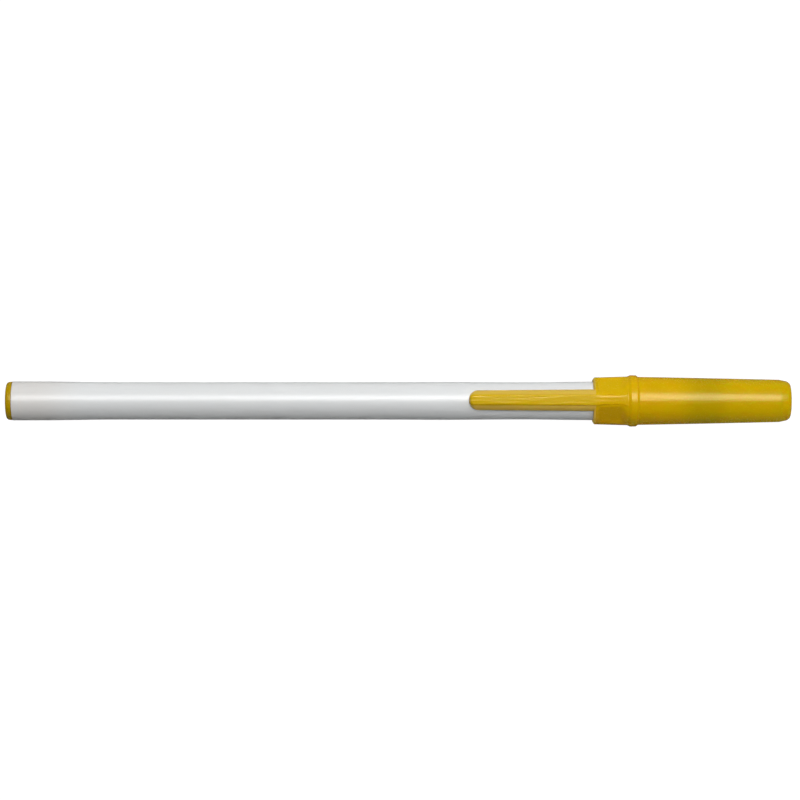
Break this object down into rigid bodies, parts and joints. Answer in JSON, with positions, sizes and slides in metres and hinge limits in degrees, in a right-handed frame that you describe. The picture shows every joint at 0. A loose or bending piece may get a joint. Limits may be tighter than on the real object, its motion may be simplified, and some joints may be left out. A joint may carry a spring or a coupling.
{
  "type": "counterfeit detector pen",
  "caption": "Capped fibre-tip stick pen that marks banknotes: slim white barrel, pull-off yellow cap with a long pocket clip and a collar ring, yellow end plug.",
  "frame": {"origin": "centre of the end plug's flat outer face, on the pen's axis", "axes": "+X along the pen's axis, from the rear end to the closed end of the cap; +Z from the axis through the middle of the pocket clip; +Y to the left when looking along +X with the clip up"},
  "size_m": [0.1492, 0.0098, 0.0098],
  "materials": {
    "white_plastic": "satin moulded polypropylene, opaque white",
    "yellow_plastic": "polished moulded polypropylene, golden yellow, slightly translucent",
    "reservoir_fibre": "bonded polyester fibre wetted with amber iodine solution",
    "clear_film": "thin clear film",
    "nib_felt": "bonded fibre rod stained amber"
  },
  "bodies": {
    "pen": {"barrel": "white_plastic", "end_plug": "yellow_plastic", "reservoir_core": "reservoir_fibre", "reservoir_film": "clear_film", "nose_section": "white_plastic", "fibre_nib": "nib_felt"},
    "cap": {"cap_shell": "yellow_plastic", "cap_inner_seal": "yellow_plastic"},
    "clip": {"cap_clip": "yellow_plastic"}
  },
  "joints": [
    {"name": "cap_slide", "type": "slide", "parent": "pen", "child": "cap", "axis": [1, 0, 0], "range_m": [0, 0.06]},
    {"name": "clip_flex", "type": "hinge", "parent": "cap", "child": "clip", "pos_m": [0.11142, 0, 0.00435], "axis": [0, 1, 0], "range_deg": [0, 5], "stiffness_Nm_per_rad": 0.006}
  ]
}
